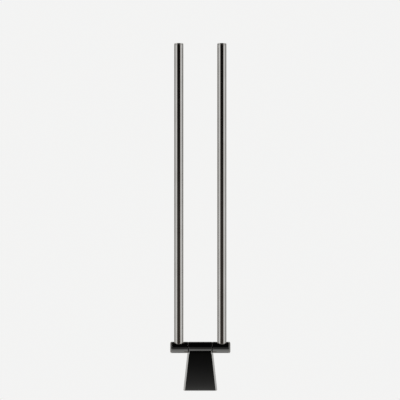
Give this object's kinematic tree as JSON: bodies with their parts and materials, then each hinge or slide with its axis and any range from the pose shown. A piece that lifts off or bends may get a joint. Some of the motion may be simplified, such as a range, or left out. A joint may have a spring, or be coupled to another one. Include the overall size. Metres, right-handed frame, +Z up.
{
  "type": "swivel towel rail",
  "caption": "Wall-mounted swivel towel rail: parallel round tube arms, stacked on an upright pivot at the end of a tapered post, each swinging on its own.",
  "frame": {"origin": "centre of the wall face, at mid height of the post", "axes": "+Z up along the swivel axis, +Y into the wall, arms reaching out along -Y, +X to the side"},
  "size_m": [0.0258, 0.45, 0.0784],
  "materials": {
    "chrome": "polished chrome plate",
    "zinc_steel": "bright zinc plated steel",
    "spring_steel": "oiled spring steel",
    "black_nylon": "moulded black nylon"
  },
  "bodies": {
    "post": {"post_body": "chrome", "wall_plate": "zinc_steel", "grub_screw": "zinc_steel", "axle": "zinc_steel", "axle_lock_screw": "zinc_steel", "upper_barrel_bush": "black_nylon", "upper_flat_washer": "zinc_steel", "upper_wave_washer": "spring_steel", "upper_lock_nut": "zinc_steel", "lower_barrel_bush": "black_nylon", "lower_flat_washer": "zinc_steel", "lower_wave_washer": "spring_steel", "lower_lock_nut": "zinc_steel"},
    "upper_arm": {"upper_knuckle": "chrome", "upper_arm_bush": "black_nylon", "upper_end_cap": "chrome", "upper_tube": "chrome", "upper_tip_cap": "chrome"},
    "lower_arm": {"lower_knuckle": "chrome", "lower_arm_bush": "black_nylon", "lower_end_cap": "chrome", "lower_tube": "chrome", "lower_tip_cap": "chrome"}
  },
  "joints": [
    {"name": "upper_arm_swing", "type": "hinge", "parent": "post", "child": "upper_arm", "pos_m": [0, -0.0546, 0], "axis": [0, 0, 1], "range_deg": [-90, 90]},
    {"name": "lower_arm_swing", "type": "hinge", "parent": "post", "child": "lower_arm", "pos_m": [0, -0.0546, 0], "axis": [0, 0, 1], "range_deg": [-90, 90]}
  ]
}
